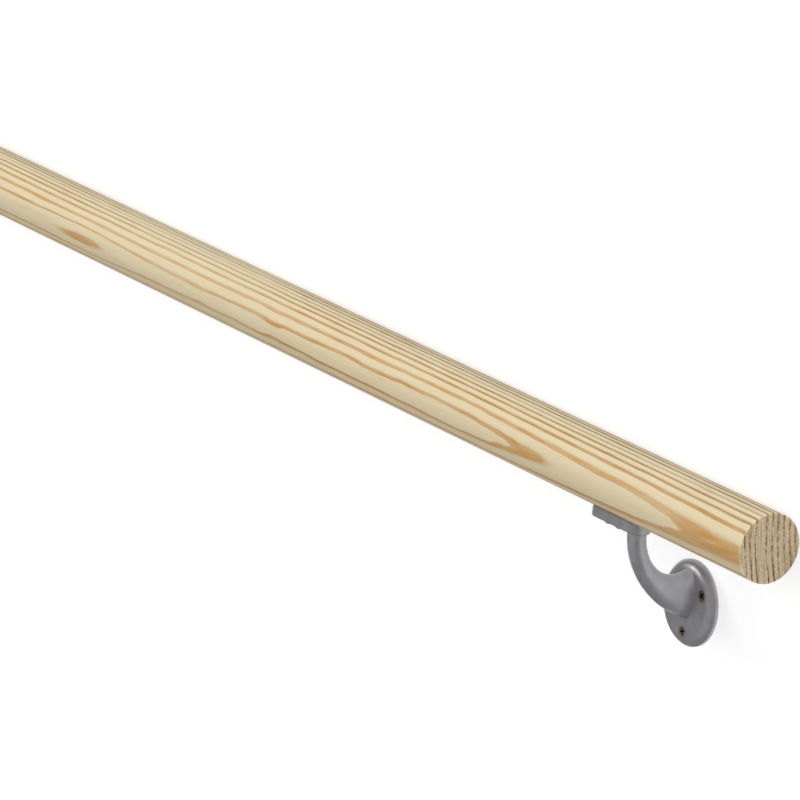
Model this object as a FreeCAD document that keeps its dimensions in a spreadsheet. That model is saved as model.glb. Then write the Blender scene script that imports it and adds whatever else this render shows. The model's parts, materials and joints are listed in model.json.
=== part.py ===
import FreeCAD, Part
import Sketcher
import math
import os

# Round timber stair handrail with two cast wall brackets, lying unheld on a level floor.
#
# Each piece is drawn as it hangs on the wall: X runs along the rail to its near end, Y points at
# the wall, Z is up, and the rail's centre line is the X axis. The whole is then turned about the
# rail until the rail and the upper back rims of both wall plates touch the floor, Z = 0.

Vector = FreeCAD.Vector
document = FreeCAD.newDocument("stair_handrail")
sheet = document.addObject("Spreadsheet::Sheet", "sizes")


# Driving sizes, in millimetres; the flare's start and power are plain numbers
DRIVING_SIZES = {
    # Rail
    "rail_length": 1800,
    "rail_diameter": 54,
    "rail_arris": 0.8,
    # From each rail end to the stem of its bracket
    "bracket_inset": 164.6,
    # Saddle under the rail; its toe is the end nearer the stem
    "saddle_length": 61,
    "saddle_width": 25,
    "saddle_thickness": 8,
    "saddle_toe": 9.5,
    "saddle_round": 1.6,
    "saddle_lip": 1,
    # Arm: a quarter bend between two short straights, swelling from its flare on to an oval root
    "arm_start": 5.5,
    "arm_straight": 0.5,
    "arm_bend": 52,
    "arm_diameter": 14.8,
    "root_height": 40,
    "root_width": 22,
    "flare_start": 0.1,
    "flare_power": 2.8,
    # Wall plate, hung below the arm's root, with countersunk holes on a circle
    "plate_diameter": 67,
    "plate_thickness": 7,
    "plate_rim": 2.5,
    "plate_shoulder": 7.5,
    "plate_drop": 8,
    "wall_hole_circle": 44.5,
    "wall_hole_diameter": 5,
    "wall_countersink": 9.4,
    # Domed screws that hold each saddle to the rail, counted back from the stem
    "screw_diameter": 4,
    "screw_length": 25,
    "screw_point": 5,
    "screw_head_diameter": 8.4,
    "screw_head_height": 4,
    "screw_offset": 23,
    "screw_pitch": 14,
    "screw_seat": 0.4,
    "screw_clearance": 0.4,
    "pilot_spare": 1,
}
for row, (alias, size) in enumerate(DRIVING_SIZES.items(), 1):
    sheet.set(f"A{row}", alias.replace("_", " "))
    sheet.set(f"B{row}", str(size))
    sheet.setAlias(f"B{row}", alias)
document.recompute()

RAIL_RADIUS = "sizes.rail_diameter / 2"
SADDLE_UNDER = "sizes.rail_diameter / 2 + sizes.saddle_thickness"
SEAT_UNDER = "sizes.rail_diameter / 2 + sizes.saddle_thickness - sizes.screw_seat"
PILOT_DEPTH = "sizes.screw_length + sizes.screw_seat + sizes.pilot_spare - sizes.saddle_thickness"
ARM_TOP = "sizes.rail_diameter / 2 + sizes.arm_start"
BEND_DEPTH = f"{ARM_TOP} + sizes.arm_straight"
PLATE_DEPTH = f"{BEND_DEPTH} + sizes.arm_bend + sizes.plate_drop"
FACE_DISTANCE = "sizes.arm_bend + sizes.arm_straight"
WALL_DISTANCE = f"{FACE_DISTANCE} + sizes.plate_thickness"
SHOULDER_HEIGHT = "sizes.plate_thickness - sizes.plate_rim"
WALL_HOLE_ANGLES = (-90, 30, 150)
BEND_SECTIONS = 7


def value(expression):
    """Work out an expression in the sheet's sizes."""
    return float(sheet.evalExpression(expression))


def origin_plane(body, role):
    """Return one of a body's own origin planes."""
    return next(plane for plane in body.Origin.OriginFeatures if plane.Role == role)


def new_sketch(body, role, name, offset=None):
    """Start a sketch on an origin plane of the body, moved along the plane's normal."""
    sketch = body.newObject("Sketcher::SketchObject", name)
    sketch.AttachmentSupport = [(origin_plane(body, role), "")]
    sketch.MapMode = "FlatFace"
    if offset:
        sketch.setExpression("AttachmentOffset.Base.z", offset)
    return sketch


def constrain(sketch, kind, *references, size):
    """Add a dimension to a sketch and bind it to an expression in the sheet's sizes."""
    index = sketch.addConstraint(Sketcher.Constraint(kind, *references, value(size)))
    sketch.setExpression(f"Constraints[{index}]", size)


def pin(sketch, geometry, point, across, up):
    """Place a point of a sketch's geometry by its two coordinates."""
    constrain(sketch, "DistanceX", -1, 1, geometry, point, size=across)
    constrain(sketch, "DistanceY", -1, 1, geometry, point, size=up)


def add_circle(sketch, across, up, diameter):
    """Draw a circle with a bound centre and diameter."""
    centre = Vector(value(across), value(up), 0)
    circle = sketch.addGeometry(Part.Circle(centre, Vector(0, 0, 1), value(diameter) / 2))
    pin(sketch, circle, 3, across, up)
    constrain(sketch, "Diameter", circle, size=diameter)


def add_outline(sketch, corners, rounds=()):
    """Draw a closed outline of straight sides; rounds maps a side to the centre of its arc."""
    rounds = dict(rounds)
    spots = [Vector(value(across), value(up), 0) for across, up in corners]
    for side, start in enumerate(spots):
        end = spots[(side + 1) % len(spots)]
        if side in rounds:
            centre = Vector(value(rounds[side][0]), value(rounds[side][1]), 0)
            circle = Part.Circle(centre, Vector(0, 0, 1), (start - centre).Length)
            sketch.addGeometry(Part.ArcOfCircle(circle, circle.parameter(start), circle.parameter(end)))
        else:
            sketch.addGeometry(Part.LineSegment(start, end))
    for side in range(len(spots)):
        following = (side + 1) % len(spots)
        sketch.addConstraint(Sketcher.Constraint("Coincident", side, 2, following, 1))
        pin(sketch, side, 1, *corners[side])
        if side in rounds:
            constrain(sketch, "DistanceX", -1, 1, side, 3, size=rounds[side][0])


def cut_through(body, name, sketch, symmetric=False):
    """Pocket a sketch right through its body, away from the sketch's normal or both ways."""
    before = body.Shape.Volume
    pocket = body.newObject("PartDesign::Pocket", name)
    pocket.Profile = sketch
    pocket.Type = "ThroughAll"
    if symmetric:
        pocket.SideType = "Symmetric"
    document.recompute()
    if not body.Shape.Volume < before:
        raise RuntimeError(f"{name} cuts nothing")


def screw_places():
    """List each saddle screw's distance behind its stem as an expression."""
    return ["sizes.screw_offset", "sizes.screw_offset + sizes.screw_pitch"]


def handrail(stems):
    """Turned rail with eased ends and blind pilot holes for the saddle screws."""
    body = document.addObject("PartDesign::Body", "handrail")
    section = new_sketch(body, "YZ_Plane", "rail_section")
    add_circle(section, "0", "0", "sizes.rail_diameter")
    pad = body.newObject("PartDesign::Pad", "rail_length")
    pad.Profile = section
    pad.SideType = "Symmetric"
    pad.setExpression("Length", "sizes.rail_length")
    document.recompute()

    arris = body.newObject("PartDesign::Chamfer", "rail_ends")
    ends = [f"Edge{number}" for number, edge in enumerate(pad.Shape.Edges, 1)
            if isinstance(edge.Curve, Part.Circle)]
    arris.Base = (pad, ends)
    arris.setExpression("Size", "sizes.rail_arris")
    document.recompute()

    pilots = new_sketch(body, "XY_Plane", "pilot_holes", f"{PILOT_DEPTH} - {RAIL_RADIUS}")
    for stem in stems:
        for place in screw_places():
            add_circle(pilots, f"{stem} - ({place})", "0", "sizes.screw_diameter")
    cut_through(body, "pilot_hole_cuts", pilots)
    return body


def rim_edges(shape, radius):
    """Name the edges round a saddle's face that has the given radius about the rail."""
    face = next(face for face in shape.Faces if isinstance(face.Surface, Part.Cylinder)
                and abs(face.Surface.Radius - value(radius)) < 1e-6)
    return [f"Edge{number}" for number, edge in enumerate(shape.Edges, 1)
            if any(edge.isSame(rim) for rim in face.Edges)]


def saddle():
    """Hollow seat that follows the rail, with eased edges, screw holes and flat screw seats."""
    body = document.addObject("PartDesign::Body", "saddle")
    plan = new_sketch(body, "XY_Plane", "saddle_plan")
    half = "sizes.saddle_width / 2"
    toe = f"sizes.saddle_toe - {half}"
    heel = f"sizes.saddle_toe - sizes.saddle_length + {half}"
    corners = [(heel, f"-{half}"), (toe, f"-{half}"), (toe, half), (heel, half)]
    add_outline(plan, corners, {1: (toe, "0"), 3: (heel, "0")})
    pad = body.newObject("PartDesign::Pad", "saddle_block")
    pad.Profile = plan
    pad.Reversed = True
    pad.setExpression("Length", f"2 * ({SADDLE_UNDER})")
    document.recompute()

    hollow = new_sketch(body, "YZ_Plane", "rail_hollow")
    add_circle(hollow, "0", "0", "sizes.rail_diameter")
    cut_through(body, "rail_hollow_cut", hollow, symmetric=True)

    outside = new_sketch(body, "YZ_Plane", "saddle_outside")
    add_circle(outside, "0", "0", f"2 * ({SADDLE_UNDER})")
    add_circle(outside, "0", "0", f"6 * ({SADDLE_UNDER})")
    cut_through(body, "saddle_outside_cut", outside, symmetric=True)

    shell = body.Tip
    easing = body.newObject("PartDesign::Fillet", "saddle_edge")
    easing.Base = (shell, rim_edges(shell.Shape, SADDLE_UNDER))
    easing.setExpression("Radius", "sizes.saddle_round")
    document.recompute()

    lip = body.newObject("PartDesign::Chamfer", "saddle_lip")
    lip.Base = (easing, rim_edges(easing.Shape, RAIL_RADIUS))
    lip.setExpression("Size", "sizes.saddle_lip")
    document.recompute()

    holes = new_sketch(body, "XY_Plane", "screw_holes")
    seats = new_sketch(body, "XY_Plane", "screw_seats", f"-({SEAT_UNDER})")
    for place in screw_places():
        add_circle(holes, f"-({place})", "0", "sizes.screw_diameter + sizes.screw_clearance")
        add_circle(seats, f"-({place})", "0", "sizes.screw_head_diameter + sizes.screw_clearance")
    cut_through(body, "screw_hole_cuts", holes)
    cut_through(body, "screw_seat_cuts", seats)
    return body


def arm_section(number, share, angle, across, up):
    """Oval section of the arm, a share of the way along it and turned round the bend."""
    start = value("sizes.flare_start")
    swell = max(0.0, (share - start) / (1 - start)) ** value("sizes.flare_power")
    section = document.addObject("Part::Ellipse", f"arm_section_{number}")
    for axis, root in (("MajorRadius", "root_height"), ("MinorRadius", "root_width")):
        growth = f"(sizes.{root} - sizes.arm_diameter) * {swell}"
        section.setExpression(axis, f"(sizes.arm_diameter + {growth}) / 2")
    turn = math.radians(angle)
    outward = Vector(0, -math.cos(turn), -math.sin(turn))
    along = Vector(0, math.sin(turn), -math.cos(turn))
    section.Placement.Rotation = FreeCAD.Rotation(outward, Vector(-1, 0, 0), along)
    section.setExpression("Placement.Base.y", across)
    section.setExpression("Placement.Base.z", f"-({up})")
    return section


def arm():
    """Arm from inside the saddle round a quarter bend to an oval root let into the wall plate."""
    straight = value("sizes.arm_straight")
    bend = value("sizes.arm_bend") * math.pi / 2
    length = bend + 2 * straight
    sections = [arm_section(0, 0, 0, "0", ARM_TOP)]
    for number in range(1, BEND_SECTIONS + 1):
        turned = (number - 1) / (BEND_SECTIONS - 1)
        angle = 90 * turned
        across = f"sizes.arm_bend * (1 - cos({angle}))"
        down = f"{BEND_DEPTH} + sizes.arm_bend * sin({angle})"
        sections.append(arm_section(number, (straight + bend * turned) / length, angle, across, down))
    root_depth = f"{BEND_DEPTH} + sizes.arm_bend"
    for let_in in ("0", "sizes.plate_thickness / 2"):
        across = f"{FACE_DISTANCE} + {let_in}"
        sections.append(arm_section(len(sections), 1, 90, across, root_depth))
    loft = document.addObject("Part::Loft", "arm")
    loft.Sections = sections
    loft.Solid = True
    document.recompute()
    return loft


def wall_plate():
    """Turned plate with a straight rim, a rounded shoulder and three countersunk holes."""
    body = document.addObject("PartDesign::Body", "wall_plate")
    profile = new_sketch(body, "YZ_Plane", "plate_profile")
    face = FACE_DISTANCE
    rim = f"{WALL_DISTANCE} - sizes.plate_rim"
    centre = f"-({PLATE_DEPTH})"
    edge = f"{centre} - sizes.plate_diameter / 2"
    inner = f"{edge} + sizes.plate_shoulder"
    crown = f"(sizes.plate_shoulder ^ 2 + ({SHOULDER_HEIGHT}) ^ 2) / (2 * ({SHOULDER_HEIGHT}))"
    corners = [(WALL_DISTANCE, centre), (face, centre), (face, inner), (rim, edge), (WALL_DISTANCE, edge)]
    add_outline(profile, corners, {2: (f"{face} + {crown}", inner)})
    turned = body.newObject("PartDesign::Revolution", "plate_turned")
    turned.Profile = profile
    turned.ReferenceAxis = (profile, ["Edge1"])
    turned.Angle = 360
    document.recompute()

    spots = new_sketch(body, "XZ_Plane", "wall_hole_places", f"-({face})")
    for angle in WALL_HOLE_ANGLES:
        across = f"sizes.wall_hole_circle / 2 * cos({angle})"
        up = f"{centre} + sizes.wall_hole_circle / 2 * sin({angle})"
        add_circle(spots, across, up, "sizes.wall_hole_diameter")
    document.recompute()
    before = body.Shape.Volume
    hole = body.newObject("PartDesign::Hole", "wall_holes")
    hole.Profile = spots
    document.recompute()
    hole.DepthType = "ThroughAll"
    hole.setExpression("Diameter", "sizes.wall_hole_diameter")
    hole.HoleCutType = "Countersink"
    hole.HoleCutCustomValues = True
    hole.setExpression("HoleCutDiameter", "sizes.wall_countersink")
    hole.HoleCutCountersinkAngle = 90
    document.recompute()
    if not body.Shape.Volume < before:
        raise RuntimeError("the wall holes cut nothing")
    return body


def wall_brackets(stems):
    """One casting under each stem place: saddle, arm and wall plate in one piece."""
    pieces = [saddle(), arm(), wall_plate()]
    castings = []
    for number, stem in enumerate(stems, 1):
        casting = document.addObject("Part::MultiFuse", f"bracket_{number}")
        casting.Shapes = pieces
        casting.Refine = True
        casting.setExpression("Placement.Base.x", stem)
        castings.append(casting)
    brackets = document.addObject("Part::Compound", "wall_brackets")
    brackets.Links = castings
    document.recompute()
    return brackets


def saddle_screw(label):
    """Domed wood screw, point up, with the underside of its head at Z = 0."""
    body = document.addObject("PartDesign::Body", label)
    profile = new_sketch(body, "XZ_Plane", f"{label}_profile")
    shank = "sizes.screw_diameter / 2"
    head = "sizes.screw_head_diameter / 2"
    dome = f"(({head}) ^ 2 - sizes.screw_head_height ^ 2) / (2 * sizes.screw_head_height)"
    corners = [("0", "-sizes.screw_head_height"), (head, "0"), (shank, "0"),
               (shank, "sizes.screw_length - sizes.screw_point"), ("0", "sizes.screw_length")]
    add_outline(profile, corners, {0: ("0", dome)})
    turned = body.newObject("PartDesign::Revolution", f"{label}_turned")
    turned.Profile = profile
    turned.ReferenceAxis = (profile, ["V_Axis"])
    turned.Angle = 360
    document.recompute()
    return body


def saddle_screws(stems):
    """Two screws up through each saddle into the rail."""
    screws = []
    for stem in stems:
        for place in screw_places():
            screw = saddle_screw(f"saddle_screw_{len(screws) + 1}")
            screw.setExpression("Placement.Base.x", f"{stem} - ({place})")
            screw.setExpression("Placement.Base.z", f"-({SEAT_UNDER})")
            screws.append(screw)
    group = document.addObject("Part::Compound", "saddle_screws")
    group.Links = screws
    document.recompute()
    return group


# Angle about the rail at which the rail and the wall plates' upper back rims share a tangent plane
rim_out = value(WALL_DISTANCE)
rim_up = value("sizes.plate_diameter / 2") - value(PLATE_DEPTH)
tangent_normal = math.atan2(rim_up, rim_out) + math.acos(value(RAIL_RADIUS) / math.hypot(rim_out, rim_up))
lie = FreeCAD.Rotation(Vector(1, 0, 0), -90 - math.degrees(tangent_normal))

# The lowest corner of the wall plate is the far side of the lying part, the rail the near side
plate_low = lie.multVec(Vector(0, rim_out, -value(PLATE_DEPTH) - value("sizes.plate_diameter / 2")))
middle = (value(RAIL_RADIUS) + plate_low.y) / 2


STEMS = [
    "sizes.rail_length / 2 - sizes.bracket_inset",
    "sizes.bracket_inset - sizes.rail_length / 2",
]
sub_parts = {
    handrail(STEMS): 1,
    wall_brackets(STEMS): len(STEMS),
    saddle_screws(STEMS): len(STEMS) * len(screw_places()),
}
for piece in sub_parts:
    piece.Placement = FreeCAD.Placement(Vector(0, -middle, value(RAIL_RADIUS)), lie)
document.recompute()

for item in document.Objects:
    if {"Invalid", "Error"} & set(item.State):
        raise RuntimeError(f"{item.Label} failed: {item.State}")
for piece, solids in sub_parts.items():
    if piece.Shape.isNull() or not piece.Shape.isValid() or len(piece.Shape.Solids) != solids:
        raise RuntimeError(f"{piece.Label} is not {solids} sound solids")

os.makedirs("parts", exist_ok=True)
for piece in sub_parts:
    piece.Shape.exportStep(f"parts/{piece.Label}.step")
    box = piece.Shape.optimalBoundingBox()
    print(f"{piece.Label}: {piece.Shape.Volume:.0f} mm3, {box}")
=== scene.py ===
import json
import math

import bpy
import numpy as np
from bpy.props import FloatProperty, FloatVectorProperty, IntProperty, PointerProperty
from mathutils import Euler, Matrix, Vector


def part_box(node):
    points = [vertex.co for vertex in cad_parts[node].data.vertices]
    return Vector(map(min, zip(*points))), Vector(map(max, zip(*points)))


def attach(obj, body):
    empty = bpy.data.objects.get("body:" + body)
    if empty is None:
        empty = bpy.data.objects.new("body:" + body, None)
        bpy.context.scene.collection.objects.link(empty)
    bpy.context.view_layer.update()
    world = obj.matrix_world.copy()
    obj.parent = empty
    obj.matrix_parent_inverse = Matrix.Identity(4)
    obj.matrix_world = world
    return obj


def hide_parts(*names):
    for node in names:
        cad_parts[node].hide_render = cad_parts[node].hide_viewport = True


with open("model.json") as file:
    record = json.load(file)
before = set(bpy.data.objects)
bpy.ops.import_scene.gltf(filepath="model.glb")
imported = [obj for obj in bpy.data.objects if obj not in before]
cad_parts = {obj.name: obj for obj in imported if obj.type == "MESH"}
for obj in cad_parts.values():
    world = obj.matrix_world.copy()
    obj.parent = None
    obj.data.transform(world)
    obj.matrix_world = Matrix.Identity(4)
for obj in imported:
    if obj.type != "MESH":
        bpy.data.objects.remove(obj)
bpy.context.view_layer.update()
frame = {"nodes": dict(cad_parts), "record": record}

bl_info = {
    "name": "Stair handrail length",
    "version": (1, 0, 0),
    "blender": (4, 5, 0),
    "location": "View3D > Sidebar > Handrail",
    "description": "Dresses a round pine stair handrail with two cast wall brackets",
    "category": "Object",
}

MM = 0.001
BODY = "root"

# The rail as it lies: a round bar along X that touches the floor
RAIL_LOW, RAIL_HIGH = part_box("handrail")
RAIL_LENGTH = RAIL_HIGH.x - RAIL_LOW.x
RAIL_RADIUS = 27 * MM
RAIL_CENTRE = (RAIL_LOW + RAIL_HIGH) / 2
RAIL_ARRIS = 0.8 * MM

# Rows of the rail's grid along its length and across each sawn end, and where an end's first row lies
# as a share of its radius
RAIL_ROWS = 61
END_ROWS = 8
END_HUB = 0.12

# The wall plates' hole circles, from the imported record: centre on the plate's back, axis to the wall
WALL_HOLES = [mount for mount in frame["record"]["mounts"] if mount["kind"] == "bolt_pattern"]
PLATE_THICKNESS = 7 * MM
HOLE_ANGLES = (-90, 30, 150)

# A wall screw: faces round it, rows across its head, height of its rim, soft edge of its cross recess,
# power of the recess's fall, depth from which the recess gets painted shade, and turn of the crosses in
# degrees
SCREW_COLUMNS = 96
HEAD_ROWS = 40
HEAD_RIM = 0.1 * MM
RECESS_EDGE = 0.1 * MM
RECESS_FALL = 0.6
PAINTED_SHADE_DEPTH = 0.3 * MM
FIRST_CROSS = 20
NEXT_CROSS = 37

# Edges that turn by more than this are drawn sharp
RAIL_SHARP = math.radians(25)
SCREW_SHARP = math.radians(35)

# What the camera sees of the floor: a grey that keeps the shadow, and a white glow added to it
FLOOR_SHADE = "#BCBCBC"
FLOOR_GLOW = 0.7

# Height at which the white horizon has faded to the sky, as a share of the way up
HORIZON = 0.25

# How far the part is turned about the rail from its place on a wall, where the plates' axis is +Y
WALL_AXIS = Vector(WALL_HOLES[0]["axis"])
LYING_TURN = math.atan2(WALL_AXIS.z, WALL_AXIS.y)


def linear(code):
    """Turn an sRGB hex colour into linear red, green, blue and a full alpha."""
    shares = np.array([int(code[i:i + 2], 16) for i in (1, 3, 5)]) / 255
    light = np.where(shares <= 0.04045, shares / 12.92, ((shares + 0.055) / 1.055) ** 2.4)
    return (*light.tolist(), 1.0)


def add_node(tree, kind, feeds=(), stops=(), **settings):
    """Add one node to a tree and return it.

    settings are its own properties. feeds gives its inputs by name or number: a plain value, or the
    node or socket that drives it. stops are the points of its curve, as (place, height)."""
    node = tree.nodes.new(kind)
    for name, setting in settings.items():
        setattr(node, name, setting)
    for name, feed in dict(feeds).items():
        source = feed.outputs[0] if isinstance(feed, bpy.types.Node) else feed
        if isinstance(source, bpy.types.NodeSocket):
            tree.links.new(source, node.inputs[name])
        else:
            node.inputs[name].default_value = source
    for number, stop in enumerate(stops):
        points = node.mapping.curves[0].points
        point = points[number] if number < 2 else points.new(*stop)
        point.location = stop
        point.handle_type = "AUTO_CLAMPED"
    if stops:
        node.mapping.update()
    return node


def new_material(name):
    """Start a material with no nodes; return the material and its tree."""
    material = bpy.data.materials.new(name)
    material.use_nodes = True
    material.node_tree.nodes.clear()
    return material, material.node_tree


def new_piece(name, points, faces, materials, slot=None):
    """Make an object at the origin from point and face arrays; given a slot, it rides on the part's one
    body.
    """
    mesh = bpy.data.meshes.new(name)
    mesh.from_pydata(points.tolist(), [], faces)
    mesh.validate()
    mesh.polygons.foreach_set("use_smooth", np.ones(len(mesh.polygons), bool))
    for material in materials:
        mesh.materials.append(material)
    piece = bpy.data.objects.new(name, mesh)
    bpy.context.scene.collection.objects.link(piece)
    if slot:
        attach(piece, BODY)
    return piece


def turned_solid(radii, heights):
    """Close a turned grid into a solid.

    Row i runs from the low end of the axis to the high end and column j goes round it: the point
    (i, j) stands radii[i, j] from the axis at the angle 2 pi j / columns, and heights[i, j] along it.
    One more point on the axis closes each end. Returns points as (across, up, along), the sides as
    quads and the ends as triangles."""
    rows, columns = radii.shape
    angle = np.linspace(0, 2 * np.pi, columns, endpoint=False)
    rings = np.stack((radii * np.cos(angle), radii * np.sin(angle), heights), axis=-1)
    tips = np.array([[0, 0, heights[0].mean()], [0, 0, heights[-1].mean()]])
    points = np.vstack((rings.reshape(-1, 3), tips))
    here = np.arange(rows * columns).reshape(rows, columns)
    beside = np.roll(here, -1, axis=1)
    quads = np.stack((here[:-1], beside[:-1], beside[1:], here[1:]), axis=-1).reshape(-1, 4)
    low = np.stack((np.full(columns, len(points) - 2), beside[0], here[0]), axis=-1)
    high = np.stack((np.full(columns, len(points) - 1), here[-1], beside[-1]), axis=-1)
    return points, quads, np.vstack((low, high))


class PineRail(bpy.types.PropertyGroup):
    """Sizes and colours of the rail."""

    columns: IntProperty(name="Columns", description="Faces round the rail", default=128, min=24)
    bark_side: FloatProperty(
        name="Bark side", description="Direction of the bark about the rail, from level on the floor",
        default=math.radians(190) + LYING_TURN, subtype="ANGLE")
    pith_distance: FloatProperty(
        name="Pith distance", description="From the rail's centre line to the heart of the tree",
        default=170 * MM, unit="LENGTH")
    earlywood: FloatVectorProperty(
        name="Earlywood", description="Pale wood of spring growth", size=4, subtype="COLOR",
        default=linear("#ECDFBB"))
    latewood: FloatVectorProperty(
        name="Latewood", description="Golden wood of summer growth near the bark", size=4,
        subtype="COLOR", default=linear("#CC9851"))
    old_latewood: FloatVectorProperty(
        name="Older latewood", description="Brown wood of summer growth nearer the heart", size=4,
        subtype="COLOR", default=linear("#85561F"))
    end_pale: FloatVectorProperty(
        name="End grain", description="Pale wood on the sawn ends", size=4, subtype="COLOR",
        default=linear("#D4BF9C"))
    end_dark: FloatVectorProperty(
        name="End rings", description="Dark rings on the sawn ends", size=4, subtype="COLOR",
        default=linear("#54311B"))


class CastBracket(bpy.types.PropertyGroup):
    """Finish of the castings."""

    metal: FloatVectorProperty(
        name="Metal", description="Satin face of the casting", size=4, subtype="COLOR",
        default=linear("#A1A0A5"))
    roughness: FloatProperty(
        name="Roughness", description="How far the satin face spreads a reflection", default=0.33,
        min=0, max=1, subtype="FACTOR")
    grit: FloatProperty(
        name="Grit", description="Grain of the blasted face", default=0.6 * MM, unit="LENGTH")


class FixingScrews(bpy.types.PropertyGroup):
    """Sizes and colours of the screws."""

    head_diameter: FloatProperty(
        name="Head", description="Across a wall screw's head", default=9.3 * MM, unit="LENGTH")
    shank_diameter: FloatProperty(
        name="Shank", description="Across a wall screw's shank", default=4.5 * MM, unit="LENGTH")
    sunk: FloatProperty(
        name="Sunk", description="Depth of a head below the plate's face", default=0.1 * MM,
        unit="LENGTH")
    recess_reach: FloatProperty(
        name="Recess reach", description="From a head's middle to the tip of its cross recess",
        default=3.2 * MM, unit="LENGTH")
    recess_width: FloatProperty(
        name="Recess width", description="Across one arm of the cross", default=1.5 * MM,
        unit="LENGTH")
    recess_depth: FloatProperty(
        name="Recess depth", description="Depth of the cross in its middle", default=2.8 * MM,
        unit="LENGTH")
    passivated: FloatVectorProperty(
        name="Wall screws", description="Yellow passivated steel", size=4, subtype="COLOR",
        default=linear("#A39B82"))
    # Painted shade: the cross recess is coloured darker than the head to stand for the shade inside it
    recess: FloatVectorProperty(
        name="Recess", description="Dull steel in the cross", size=4, subtype="COLOR",
        default=linear("#4A4228"))
    plated: FloatVectorProperty(
        name="Saddle screws", description="Zinc plated steel", size=4, subtype="COLOR",
        default=linear("#A9A8AE"))


class StudioStage(bpy.types.PropertyGroup):
    """Floor, light and camera."""

    floor_size: FloatProperty(
        name="Floor", description="Side of the floor", default=400, unit="LENGTH")
    floor: FloatVectorProperty(
        name="Floor colour", description="Matt white floor", size=4, subtype="COLOR",
        default=linear("#EAEAEA"))
    key_direction: FloatVectorProperty(
        name="Key direction", description="From the part towards the key light", subtype="DIRECTION",
        default=(0.60, 0.69, 0.30))
    key_strength: FloatProperty(
        name="Key strength", description="Power of the key light", default=2.65)
    key_spread: FloatProperty(
        name="Key spread", description="Angle that the soft key light fills", subtype="ANGLE",
        default=math.radians(90))
    strip_direction: FloatVectorProperty(
        name="Strip direction", description="From the part towards the narrow strip light",
        subtype="DIRECTION", default=(-0.675, 0.504, 0.537))
    strip_strength: FloatProperty(
        name="Strip strength", description="Power of the strip light", default=0.5)
    strip_spread: FloatProperty(
        name="Strip spread", description="Angle that the strip light fills", subtype="ANGLE",
        default=math.radians(20))
    panel_direction: FloatVectorProperty(
        name="Panel direction", description="From the part towards the panel that its metal mirrors",
        subtype="DIRECTION", default=(-0.2, 0.15, 0.96))
    panel_strength: FloatProperty(
        name="Panel strength", description="Power of the panel", default=0.25)
    panel_spread: FloatProperty(
        name="Panel spread", description="Angle that the panel fills", subtype="ANGLE",
        default=math.radians(70))
    fill_direction: FloatVectorProperty(
        name="Fill direction", description="From the part towards the fill light behind it",
        subtype="DIRECTION", default=(0.1, -0.99, 0.08))
    fill_strength: FloatProperty(
        name="Fill strength", description="Power of the fill light", default=0.85)
    fill_spread: FloatProperty(
        name="Fill spread", description="Angle that the fill light fills", subtype="ANGLE",
        default=math.radians(50))
    sky_strength: FloatProperty(
        name="Sky strength", default=0.29,
        description="Light from all round, above the white horizon")
    eye: FloatVectorProperty(
        name="Camera", subtype="TRANSLATION", default=(3.50878, -2.67201, 1.15840),
        description="Place of the camera from the rail's near end, with the rail on its wall")
    gaze: FloatVectorProperty(
        name="Camera turn", subtype="EULER",
        default=[math.radians(angle) for angle in (76.1596, -6.0775, 57.8215)],
        description="Turn of the camera about X, Y and Z, with the rail on its wall")
    lens: FloatProperty(
        name="Lens", description="Focal length in millimetres", default=282.27, unit="CAMERA")


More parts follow.
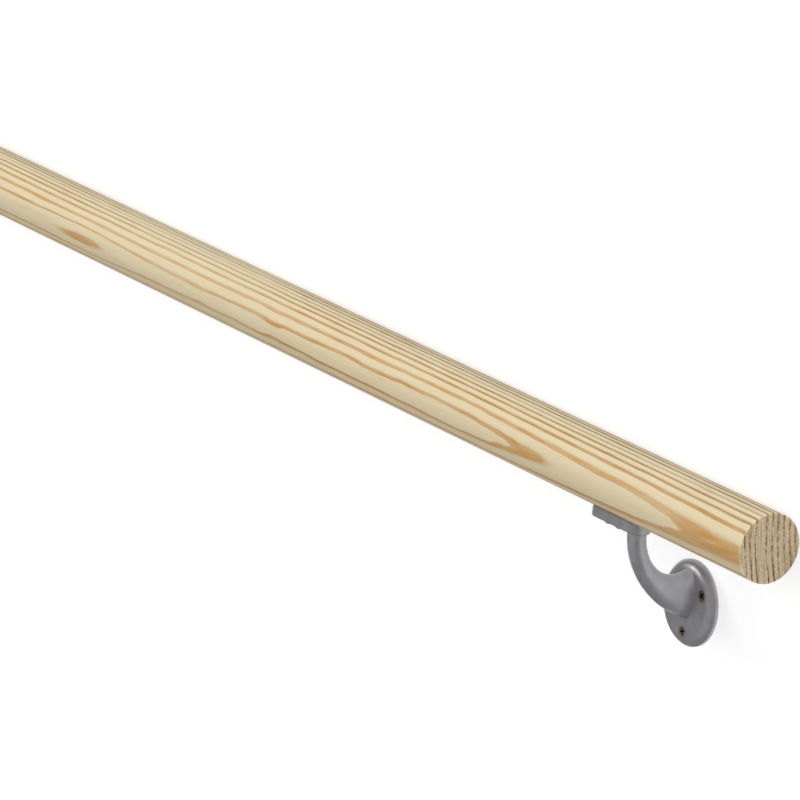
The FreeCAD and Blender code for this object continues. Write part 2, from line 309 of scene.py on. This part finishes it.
def growth_rings(tree, look):
    """Growth rings of the pine as a solid pattern; return the latewood, youth and turned place nodes.

    With x along the rail from its near end, d towards the bark and t across, a point lies
    R = sqrt((d + D)^2 + t^2) - D from the middle ring, D being the pith's distance. The rings grow
    wider towards the near end, so R is divided by a slow curve of x. Three noises, a dimple and a
    pinch move it, and a second curve counts the rings of unequal width. The part of a ring, raised to
    a power that a third curve of R gives, sets its latewood, which is weaker in a lean year and along
    some stretches. R also gives the youth, from 0 at the heart side to 1 near the bark."""
    place = add_node(tree, "ShaderNodeTexCoord").outputs["Object"]
    turned = add_node(tree, "ShaderNodeMapping", {
        "Vector": place,
        "Location": (RAIL_LENGTH / 2, RAIL_CENTRE.y, RAIL_CENTRE.z),
        "Rotation": (look.bark_side, 0, 0)}, vector_type="TEXTURE")
    axes = add_node(tree, "ShaderNodeSeparateXYZ", {0: turned})
    along, bark, across = axes.outputs

    deep = add_node(tree, "ShaderNodeMath", {0: bark, 1: look.pith_distance}, operation="ADD")
    span = add_node(tree, "ShaderNodeCombineXYZ", {0: deep, 1: across})
    reach = add_node(tree, "ShaderNodeVectorMath", {0: span}, operation="LENGTH").outputs["Value"]
    ring_height = add_node(tree, "ShaderNodeMath", {
        0: reach, 1: look.pith_distance}, operation="SUBTRACT")

    # Rings widen from 0.94 of their middle width far off to 1.19 at the near end; x in mm. A curve
    # ends at 1, so it is drawn lower by half a width
    lowered = 0.5
    widths = [(-1800, 0.94), (-1200, 0.962), (-950, 0.985), (-750, 1.006), (-600, 1.0), (-420, 0.99),
              (-365, 1.0), (-320, 1.019), (-265, 1.055), (-120, 1.125), (-85, 1.152), (0, 1.19)]
    along_share = add_node(tree, "ShaderNodeMapRange", {
        "Value": along, "From Min": -RAIL_LENGTH, "From Max": 0.0})
    widening = add_node(tree, "ShaderNodeFloatCurve", {"Value": along_share}, [
        (1 + x * MM / RAIL_LENGTH, width - lowered) for x, width in widths])
    scale = add_node(tree, "ShaderNodeMath", {0: widening, 1: lowered}, operation="ADD")

    # Summer growth is weaker along two stretches; x in mm
    strengths = [(-1800, 0.95), (-1050, 0.96), (-900, 0.75), (-740, 0.7), (-620, 1.0), (-170, 1.0),
                 (-110, 0.88), (-50, 1.0), (0, 1.0)]
    strength = add_node(tree, "ShaderNodeFloatCurve", {"Value": along_share}, [
        (1 + x * MM / RAIL_LENGTH, growth) for x, growth in strengths])

    evened = add_node(tree, "ShaderNodeMath", {0: ring_height, 1: scale}, operation="DIVIDE")

    # Slow sway of the trunk, kinks and the ragged edge of each ring: length, width and sway in mm
    for length, width, sway in ((300, 90, 1.3), (55, 16, 1.0), (30, 5, 0.4)):
        spot = add_node(tree, "ShaderNodeMapping", {
            "Vector": turned, "Scale": (1 / length / MM, 1 / width / MM, 1 / width / MM)})
        noise = add_node(tree, "ShaderNodeTexNoise", {"Vector": spot, "Scale": 1.0, "Detail": 2.0})
        middle = add_node(tree, "ShaderNodeMath", {0: noise, 1: 0.5}, operation="SUBTRACT")
        evened = add_node(tree, "ShaderNodeMath", {
            0: middle, 1: sway * MM, 2: evened}, operation="MULTIPLY_ADD")

    # A dimple under the bark face shows as a brown lens, and a pinch draws its lines together: place,
    # length, width and rise in mm. Each is a bell of height exp(-r^2)
    outer = add_node(tree, "ShaderNodeMath", {0: bark, 1: 0.0}, operation="GREATER_THAN")
    for x, length, width, rise in ((-975, 66, 9, 2.95), (-657, 16, 30, -0.3)):
        spot = add_node(tree, "ShaderNodeMapping", {
            "Vector": turned, "Location": (-x / length, 0, 0),
            "Scale": (1 / length / MM, 0, 1 / width / MM)})
        square = add_node(tree, "ShaderNodeVectorMath", {
            0: spot, 1: spot}, operation="DOT_PRODUCT").outputs["Value"]
        minus = add_node(tree, "ShaderNodeMath", {0: square, 1: -1.0}, operation="MULTIPLY")
        bell = add_node(tree, "ShaderNodeMath", {0: minus}, operation="EXPONENT")
        bell = add_node(tree, "ShaderNodeMath", {0: bell, 1: outer}, operation="MULTIPLY")
        evened = add_node(tree, "ShaderNodeMath", {
            0: bell, 1: rise * MM, 2: evened}, operation="MULTIPLY_ADD")

    # Ring edges in mm from the middle ring, with the number of the ring that starts there
    edges = [(-31.5, 0), (3.3, 8), (18.9, 12), (23.3, 13), (26.5, 14), (30.5, 15)]
    low = edges[0][0]
    high, last = edges[-1]
    ring_share = add_node(tree, "ShaderNodeMapRange", {
        "Value": evened, "From Min": low * MM, "From Max": high * MM})
    counted = add_node(tree, "ShaderNodeFloatCurve", {"Value": ring_share}, [
        ((edge - low) / (high - low), number / last) for edge, number in edges])
    count = add_node(tree, "ShaderNodeMath", {0: counted, 1: last}, operation="MULTIPLY")

    # Summer growth takes more of the old narrow rings and less of the last one; edges in mm. A curve
    # ends at 1, so its heights are drawn as shares of a tallest one
    tallest = 2.0
    powers = [(low, 0.8), (-2, 0.8), (3, 1.0), (23.5, 1.0), (25.5, 1.9), (high, 1.9)]
    thinning = add_node(tree, "ShaderNodeFloatCurve", {"Value": ring_share}, [
        ((edge - low) / (high - low), height / tallest) for edge, height in powers])
    power = add_node(tree, "ShaderNodeMath", {0: thinning, 1: tallest}, operation="MULTIPLY")
    part = add_node(tree, "ShaderNodeMath", {0: count}, operation="FRACT")
    part = add_node(tree, "ShaderNodeMath", {0: part, 1: power}, operation="POWER")
    year = add_node(tree, "ShaderNodeMath", {0: count}, operation="FLOOR")
    # Latewood comes on slowly through a ring and ends sharply
    season = add_node(tree, "ShaderNodeFloatCurve", {"Value": part}, [
        (0, 0.03), (1, 0), (0.4, 0.1), (0.55, 0.3), (0.65, 0.72), (0.74, 1.0), (0.92, 1.0)])
    luck = add_node(tree, "ShaderNodeTexWhiteNoise", {"W": year}, noise_dimensions="1D")
    depth = add_node(tree, "ShaderNodeMapRange", {"Value": luck, "To Min": 0.92, "To Max": 1.0})
    latewood = add_node(tree, "ShaderNodeMath", {0: season, 1: depth}, operation="MULTIPLY")
    # One lean year left a faint ring
    lean_year = 8.0
    lean = add_node(tree, "ShaderNodeMath", {0: year, 1: lean_year, 2: 0.5}, operation="COMPARE")
    poor = add_node(tree, "ShaderNodeMapRange", {"Value": lean, "To Min": 1.0, "To Max": 0.65})
    latewood = add_node(tree, "ShaderNodeMath", {0: latewood, 1: poor}, operation="MULTIPLY")
    latewood = add_node(tree, "ShaderNodeMath", {0: latewood, 1: strength}, operation="MULTIPLY")
    # Each ring is stronger and weaker along the rail, in patches 30 mm long and 4 mm wide
    spot = add_node(tree, "ShaderNodeMapping", {
        "Vector": turned, "Scale": (1 / 30 / MM, 1 / 4 / MM, 1 / 4 / MM)})
    patch = add_node(tree, "ShaderNodeTexNoise", {"Vector": spot, "Scale": 1.0, "Detail": 3.0})
    vigour = add_node(tree, "ShaderNodeMapRange", {
        "Value": patch, "From Min": 0.3, "From Max": 0.65, "To Min": 0.7, "To Max": 1.0})
    latewood = add_node(tree, "ShaderNodeMath", {0: latewood, 1: vigour}, operation="MULTIPLY")
    youth = add_node(tree, "ShaderNodeMapRange", {
        "Value": evened, "From Min": 2 * MM, "From Max": 23 * MM})
    return latewood, youth, turned


def planed_pine(look):
    """Planed pine: pale earlywood streaked along its fibres, and latewood that is golden near the bark
    and brown nearer the heart, all matt with a slight sheen on the hard latewood."""
    material, tree = new_material("planed pine")
    latewood, youth, turned = growth_rings(tree, look)
    # Fibres drawn 1.2 mm wide and 60 mm long, coarser than real ones so that they show
    thread = add_node(tree, "ShaderNodeMapping", {
        "Vector": turned, "Scale": (1 / 60 / MM, 1 / 1.2 / MM, 1 / 1.2 / MM)})
    fibre = add_node(tree, "ShaderNodeTexNoise", {
        "Vector": thread, "Scale": 1.0, "Detail": 3.0, "Roughness": 0.6})
    summer = add_node(tree, "ShaderNodeMix", {
        "Factor": youth, "A": look.old_latewood, "B": look.latewood},
        data_type="RGBA").outputs["Result"]
    # Pale wood is streaked with tan along its fibres
    tan = add_node(tree, "ShaderNodeMapRange", {
        "Value": fibre, "From Min": 0.4, "From Max": 0.7, "To Min": 0.0, "To Max": 0.3})
    stain = add_node(tree, "ShaderNodeMath", {0: latewood, 1: tan}, operation="MAXIMUM")
    wood = add_node(tree, "ShaderNodeMix", {
        "Factor": stain, "A": look.earlywood, "B": summer}, data_type="RGBA").outputs["Result"]
    light = add_node(tree, "ShaderNodeMapRange", {
        "Value": fibre, "From Min": 0.25, "From Max": 0.75, "To Min": 0.94, "To Max": 1.05})
    streaked = add_node(tree, "ShaderNodeVectorMath", {0: wood, "Scale": light}, operation="SCALE")
    matt = add_node(tree, "ShaderNodeMapRange", {
        "Value": latewood, "To Min": 0.62, "To Max": 0.5})
    relief = add_node(tree, "ShaderNodeBump", {
        "Height": fibre, "Strength": 0.12, "Distance": 0.2 * MM})
    shader = add_node(tree, "ShaderNodeBsdfPrincipled", {
        "Base Color": streaked, "Roughness": matt, "Normal": relief, "IOR": 1.5,
        "Specular IOR Level": 0.3})
    add_node(tree, "ShaderNodeOutputMaterial", {"Surface": shader})
    return material


def sawn_pine(look):
    """Sawn pine end grain: the same rings cut across, grey-brown and rough with open fibre ends."""
    material, tree = new_material("sawn pine end grain")
    latewood, youth, turned = growth_rings(tree, look)
    # Torn fibre ends in specks 1 mm by 2 mm, coarser than real ones so that they show
    spot = add_node(tree, "ShaderNodeMapping", {
        "Vector": turned, "Scale": (1 / 9 / MM, 1 / 1.0 / MM, 1 / 2 / MM)})
    pores = add_node(tree, "ShaderNodeTexNoise", {
        "Vector": spot, "Scale": 1.0, "Detail": 4.0, "Roughness": 0.7})
    # Weak lines of false rings, 1 mm by 35 mm
    spot = add_node(tree, "ShaderNodeMapping", {
        "Vector": turned, "Scale": (1 / 35 / MM, 1 / 1.0 / MM, 1 / 35 / MM)})
    false_rings = add_node(tree, "ShaderNodeTexNoise", {
        "Vector": spot, "Scale": 1.0, "Detail": 2.0, "Distortion": 0.3})
    faint = add_node(tree, "ShaderNodeMapRange", {
        "Value": false_rings, "From Min": 0.48, "From Max": 0.7, "To Min": 0.0, "To Max": 0.55})
    # Rings are thin lines that come and go, and stand out most near the bark
    clear = add_node(tree, "ShaderNodeMapRange", {"Value": youth, "To Min": 0.72, "To Max": 1.0})
    thin = add_node(tree, "ShaderNodeMapRange", {
        "Value": latewood, "From Min": 0.66, "From Max": 0.94})
    torn = add_node(tree, "ShaderNodeMapRange", {
        "Value": pores, "From Min": 0.35, "From Max": 0.65, "To Min": 1.0, "To Max": 0.85})
    thin = add_node(tree, "ShaderNodeMath", {0: thin, 1: torn}, operation="MULTIPLY")
    ring = add_node(tree, "ShaderNodeMath", {0: thin, 1: clear, 2: faint}, operation="MULTIPLY_ADD")
    wood = add_node(tree, "ShaderNodeMix", {
        "Factor": ring, "A": look.end_pale, "B": look.end_dark}, data_type="RGBA").outputs["Result"]
    light = add_node(tree, "ShaderNodeMapRange", {
        "Value": pores, "From Min": 0.3, "From Max": 0.7, "To Min": 0.6, "To Max": 1.32})
    speckled = add_node(tree, "ShaderNodeVectorMath", {0: wood, "Scale": light}, operation="SCALE")
    relief = add_node(tree, "ShaderNodeBump", {
        "Height": pores, "Strength": 0.4, "Distance": 0.3 * MM})
    shader = add_node(tree, "ShaderNodeBsdfPrincipled", {
        "Base Color": speckled, "Roughness": 0.8, "Normal": relief, "IOR": 1.5})
    add_node(tree, "ShaderNodeOutputMaterial", {"Surface": shader})
    return material


def satin_casting(look):
    """Satin cast aluminium, blasted and lacquered: half of its light is spread by the pitted face, and
    half is a soft reflection, so it is an even grey with a fine grain."""
    material, tree = new_material("satin cast aluminium")
    place = add_node(tree, "ShaderNodeTexCoord").outputs["Object"]
    # Grit drawn coarser than on a real blasted face, so that it shows
    grain = add_node(tree, "ShaderNodeTexNoise", {
        "Vector": place, "Scale": 1 / look.grit, "Detail": 2.0})
    # Clouds of uneven blasting, 12 mm across
    cloud = add_node(tree, "ShaderNodeTexNoise", {
        "Vector": place, "Scale": 1 / (12 * MM), "Detail": 3.0})
    matt = add_node(tree, "ShaderNodeMapRange", {
        "Value": cloud, "From Min": 0.3, "From Max": 0.7,
        "To Min": look.roughness - 0.04, "To Max": look.roughness + 0.05})
    light = add_node(tree, "ShaderNodeMapRange", {
        "Value": cloud, "From Min": 0.3, "From Max": 0.7, "To Min": 0.9, "To Max": 1.08})
    clouded = add_node(tree, "ShaderNodeVectorMath", {
        0: tuple(look.metal)[:3], "Scale": light}, operation="SCALE")
    relief = add_node(tree, "ShaderNodeBump", {
        "Height": grain, "Strength": 0.16, "Distance": 0.1 * MM})
    shader = add_node(tree, "ShaderNodeBsdfPrincipled", {
        "Base Color": clouded, "Metallic": 0.55, "Roughness": matt, "Normal": relief,
        "Coat Weight": 0.3, "Coat Roughness": 0.15})
    add_node(tree, "ShaderNodeOutputMaterial", {"Surface": shader})
    return material


def plated_steel(name, colour, roughness):
    """Plated steel: a thin bright coat, cloudy where it was dipped, in clouds 2.5 mm across."""
    material, tree = new_material(name)
    place = add_node(tree, "ShaderNodeTexCoord").outputs["Object"]
    cloud = add_node(tree, "ShaderNodeTexNoise", {
        "Vector": place, "Scale": 1 / (2.5 * MM), "Detail": 2.0})
    light = add_node(tree, "ShaderNodeMapRange", {
        "Value": cloud, "From Min": 0.3, "From Max": 0.7, "To Min": 0.8, "To Max": 1.1})
    clouded = add_node(tree, "ShaderNodeVectorMath", {
        0: tuple(colour)[:3], "Scale": light}, operation="SCALE")
    shader = add_node(tree, "ShaderNodeBsdfPrincipled", {
        "Base Color": clouded, "Metallic": 1.0, "Roughness": roughness})
    add_node(tree, "ShaderNodeOutputMaterial", {"Surface": shader})
    return material


class HANDRAIL_OT_pine_rail(bpy.types.Operator):
    """Turn the round rail with eased, sawn ends"""

    bl_idname = "handrail.pine_rail"
    bl_label = "Pine rail"

    def execute(self, context):
        look = context.scene.pine_rail
        # Radius by row: each sawn end grows out to the eased arris, and the rail between them is round
        half = RAIL_LENGTH / 2
        ends = np.linspace(END_HUB, 1, END_ROWS) * (RAIL_RADIUS - RAIL_ARRIS)
        straight = np.linspace(RAIL_ARRIS - half, half - RAIL_ARRIS, RAIL_ROWS)
        radii = np.concatenate((ends, np.full(RAIL_ROWS, RAIL_RADIUS), ends[::-1]))
        heights = np.concatenate((np.full(END_ROWS, -half), straight, np.full(END_ROWS, half)))
        around = np.ones((1, look.columns))
        points, quads, fans = turned_solid(radii[:, None] * around, heights[:, None] * around)
        points = points[:, [2, 0, 1]] + np.array(RAIL_CENTRE)
        faces = quads.tolist() + fans.tolist()
        piece = new_piece("pine_rail", points, faces, (planed_pine(look), sawn_pine(look)), "pine")
        mesh = piece.data
        facing = np.empty(len(mesh.polygons) * 3, np.float32)
        mesh.polygons.foreach_get("normal", facing)
        # Sawn faces look along the rail, and the eased arris at 45 degrees to it
        sawn_faces = np.abs(facing.reshape(-1, 3)[:, 0]) > 0.9
        mesh.polygons.foreach_set("material_index", sawn_faces.astype(np.int32))
        mesh.set_sharp_from_angle(angle=RAIL_SHARP)
        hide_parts("handrail")
        return {"FINISHED"}


class HANDRAIL_OT_wall_brackets(bpy.types.Operator):
    """Give the two castings their satin face"""

    bl_idname = "handrail.wall_brackets"
    bl_label = "Wall brackets"

    def execute(self, context):
        material = satin_casting(context.scene.cast_bracket)
        for slot in frame["nodes"]["wall_brackets"].material_slots:
            slot.material = material
        return {"FINISHED"}


class HANDRAIL_OT_saddle_screws(bpy.types.Operator):
    """Plate the screws that hold the saddles to the rail"""

    bl_idname = "handrail.saddle_screws"
    bl_label = "Saddle screws"

    def execute(self, context):
        look = context.scene.fixing_screws
        material = plated_steel("zinc plated steel", look.plated, roughness=0.35)
        for slot in frame["nodes"]["saddle_screws"].material_slots:
            slot.material = material
        return {"FINISHED"}


def countersunk_screw(look):
    """Countersunk screw with a cross recess, its axis on the third coordinate.

    The back of the plate is at height 0. A cylinder, a 45 degree cone and a flat head are turned,
    and the head is sunk by D (1 - r / reach)^RECESS_FALL S, where D is the recess's depth, r the
    distance from the axis and S a smooth step from 1 within either arm of the cross to 0 outside
    both. Returns what turned_solid does."""
    head = look.head_diameter / 2
    shank = look.shank_diameter / 2
    top = PLATE_THICKNESS - look.sunk
    neck = top - (head - shank)
    rim = top - HEAD_RIM
    # The head's face from beside its rim to near its middle
    inner = np.linspace(head * 0.97, head * 0.02, HEAD_ROWS)
    radii = np.concatenate(([shank * 0.5, shank, shank, head], inner))
    heights = np.concatenate(([0, 0, neck, rim], np.full(HEAD_ROWS, top)))
    angle = np.linspace(0, 2 * np.pi, SCREW_COLUMNS, endpoint=False)
    radii = radii[:, None] * np.ones(SCREW_COLUMNS)
    heights = heights[:, None] * np.ones(SCREW_COLUMNS)
    thin = np.minimum(np.abs(np.cos(angle)), np.abs(np.sin(angle))) * radii
    step = np.clip((look.recess_width / 2 + RECESS_EDGE - thin) / (2 * RECESS_EDGE), 0, 1)
    fall = np.clip(1 - radii / look.recess_reach, 0, 1) ** RECESS_FALL
    on_head = heights > (rim + top) / 2
    heights = heights - on_head * look.recess_depth * fall * step * step * (3 - 2 * step)
    return turned_solid(radii, heights)


def in_recess(look, corners):
    """Tell which faces of a wall screw lie in its cross recess, from the places of their corners."""
    top = PLATE_THICKNESS - look.sunk
    heights = corners[..., 2]
    reach = np.hypot(corners[..., 0], corners[..., 1]).max(axis=1)
    sunk = heights.mean(axis=1) < top - PAINTED_SHADE_DEPTH
    # The shank's faces are as near the axis, but start below the recess
    return sunk & (heights[:, 0] > top - look.recess_depth) & (reach < look.recess_reach)


class HANDRAIL_OT_wall_screws(bpy.types.Operator):
    """Put a countersunk screw in each hole of both wall plates"""

    bl_idname = "handrail.wall_screws"
    bl_label = "Wall screws"

    def execute(self, context):
        look = context.scene.fixing_screws
        shape, quads, fans = countersunk_screw(look)
        points = []
        faces = []
        for mount in WALL_HOLES:
            out = -Vector(mount["axis"])
            along = Vector((1, 0, 0))
            up = out.cross(along)
            circle = mount["dims"]["pcd_mm"] / 2 * MM
            for number, angle in enumerate(HOLE_ANGLES):
                turn = math.radians(angle)
                seat = Vector(mount["pos_m"]) + circle * (math.cos(turn) * along + math.sin(turn) * up)
                cross = math.radians(FIRST_CROSS + NEXT_CROSS * number)
                first = math.cos(cross) * along + math.sin(cross) * up
                axes = np.array((first, out.cross(first), out))
                count = len(points) * len(shape)
                points.append(shape @ axes + np.array(seat))
                faces += (quads + count).tolist() + (fans + count).tolist()
        # Faces in the cross recess get a duller coat whose dark colour is painted shade of the recess
        coats = (plated_steel("yellow passivated steel", look.passivated, roughness=0.35),
                 plated_steel("dull passivated steel", look.recess, roughness=0.6))
        piece = new_piece("wall_screws", np.vstack(points), faces, coats, "screw")
        painted_shade_faces = np.concatenate((in_recess(look, shape[quads]), in_recess(look, shape[fans])))
        material_of_face = np.tile(painted_shade_faces.astype(np.int32), len(points))
        piece.data.polygons.foreach_set("material_index", material_of_face)
        piece.data.set_sharp_from_angle(angle=SCREW_SHARP)
        return {"FINISHED"}


def white_floor(look):
    """Matt white floor that looks white to the camera and in gloss, and keeps the part's shadow."""
    material, tree = new_material("matt white floor")
    lit = add_node(tree, "ShaderNodeBsdfDiffuse", {"Color": look.floor})
    shaded = add_node(tree, "ShaderNodeBsdfDiffuse", {"Color": linear(FLOOR_SHADE)})
    glow = add_node(tree, "ShaderNodeEmission", {"Strength": FLOOR_GLOW})
    seen = add_node(tree, "ShaderNodeAddShader", {0: shaded, 1: glow})
    path = add_node(tree, "ShaderNodeLightPath").outputs
    sharp = add_node(tree, "ShaderNodeMath", {
        0: path["Is Glossy Ray"], 1: path["Is Transmission Ray"]}, operation="MAXIMUM")
    direct = add_node(tree, "ShaderNodeMath", {
        0: path["Is Camera Ray"], 1: sharp}, operation="MAXIMUM")
    mixed = add_node(tree, "ShaderNodeMixShader", {0: direct, 1: lit, 2: seen})
    add_node(tree, "ShaderNodeOutputMaterial", {"Surface": mixed})
    return material


def soft_light(scene, look):
    """White horizon that fades to a greyer sky, a broad key and fill that gloss doesn't mirror, a strip
    that it does, and a panel that shows in gloss alone."""
    world = bpy.data.worlds.new("studio")
    world.use_nodes = True
    scene.world = world
    tree = world.node_tree
    tree.nodes.clear()
    gaze = add_node(tree, "ShaderNodeTexCoord").outputs["Generated"]
    height = add_node(tree, "ShaderNodeSeparateXYZ", {0: gaze}).outputs["Z"]
    share = add_node(tree, "ShaderNodeMapRange", {
        "Value": height, "From Min": 0.0, "From Max": HORIZON,
        "To Min": 1.0, "To Max": look.sky_strength})
    sky = add_node(tree, "ShaderNodeBackground", {"Strength": share})
    add_node(tree, "ShaderNodeOutputWorld", {"Surface": sky})

    for name in ("key", "strip", "panel", "fill"):
        lamp = bpy.data.objects.new(name, bpy.data.lights.new(name, "SUN"))
        scene.collection.objects.link(lamp)
        lamp.data.energy = getattr(look, name + "_strength")
        lamp.data.angle = getattr(look, name + "_spread")
        direction = Vector(getattr(look, name + "_direction"))
        lamp.rotation_euler = direction.to_track_quat("Z", "Y").to_euler()
        lamp.visible_glossy = name in ("strip", "panel")
        lamp.visible_diffuse = name != "panel"


class HANDRAIL_OT_stage(bpy.types.Operator):
    """Set the white floor, the soft light and the camera"""

    bl_idname = "handrail.stage"
    bl_label = "Stage"

    def execute(self, context):
        look = context.scene.studio_stage
        scene = context.scene
        half = look.floor_size / 2
        corners = np.array([(-half, -half, 0), (half, -half, 0), (half, half, 0), (-half, half, 0)])
        floor = new_piece("floor", corners, [(0, 1, 2, 3)], (white_floor(look),))
        soft_light(scene, look)

        eye = bpy.data.objects.new("camera", bpy.data.cameras.new("camera"))
        scene.collection.objects.link(eye)
        near_end = Vector((RAIL_HIGH.x, RAIL_CENTRE.y, RAIL_CENTRE.z))
        lying = Matrix.Translation(near_end) @ Matrix.Rotation(LYING_TURN, 4, "X")
        eye.matrix_world = lying @ Matrix.LocRotScale(look.eye, Euler(look.gaze), None)
        eye.data.lens = look.lens
        eye.data.clip_end = look.floor_size
        scene.camera = eye
        scene.view_settings.view_transform = "Standard"
        return {"FINISHED"}


class HANDRAIL_PT_sidebar(bpy.types.Panel):
    """Sidebar panel of the handrail's pieces"""

    bl_label = "Stair handrail"
    bl_idname = "HANDRAIL_PT_sidebar"
    bl_space_type = "VIEW_3D"
    bl_region_type = "UI"
    bl_category = "Handrail"

    def draw(self, context):
        for group, operators in PIECES.items():
            box = self.layout.box()
            settings = getattr(context.scene, group)
            for name in settings.__annotations__:
                box.prop(settings, name)
            for operator in operators:
                box.operator(operator.bl_idname)


GROUPS = {
    "pine_rail": PineRail,
    "cast_bracket": CastBracket,
    "fixing_screws": FixingScrews,
    "studio_stage": StudioStage,
}
PIECES = {
    "pine_rail": (HANDRAIL_OT_pine_rail,),
    "cast_bracket": (HANDRAIL_OT_wall_brackets,),
    "fixing_screws": (HANDRAIL_OT_saddle_screws, HANDRAIL_OT_wall_screws),
    "studio_stage": (HANDRAIL_OT_stage,),
}
OPERATORS = [operator for group in PIECES.values() for operator in group]


def register():
    for item in (*GROUPS.values(), *OPERATORS, HANDRAIL_PT_sidebar):
        bpy.utils.register_class(item)
    for name, group in GROUPS.items():
        setattr(bpy.types.Scene, name, PointerProperty(type=group))


def unregister():
    for name in GROUPS:
        delattr(bpy.types.Scene, name)
    for item in (HANDRAIL_PT_sidebar, *OPERATORS, *GROUPS.values()):
        bpy.utils.unregister_class(item)


def main():
    register()
    bpy.ops.handrail.pine_rail()
    bpy.ops.handrail.wall_brackets()
    bpy.ops.handrail.saddle_screws()
    bpy.ops.handrail.wall_screws()
    bpy.ops.handrail.stage()


if __name__ == "__main__":
    main()
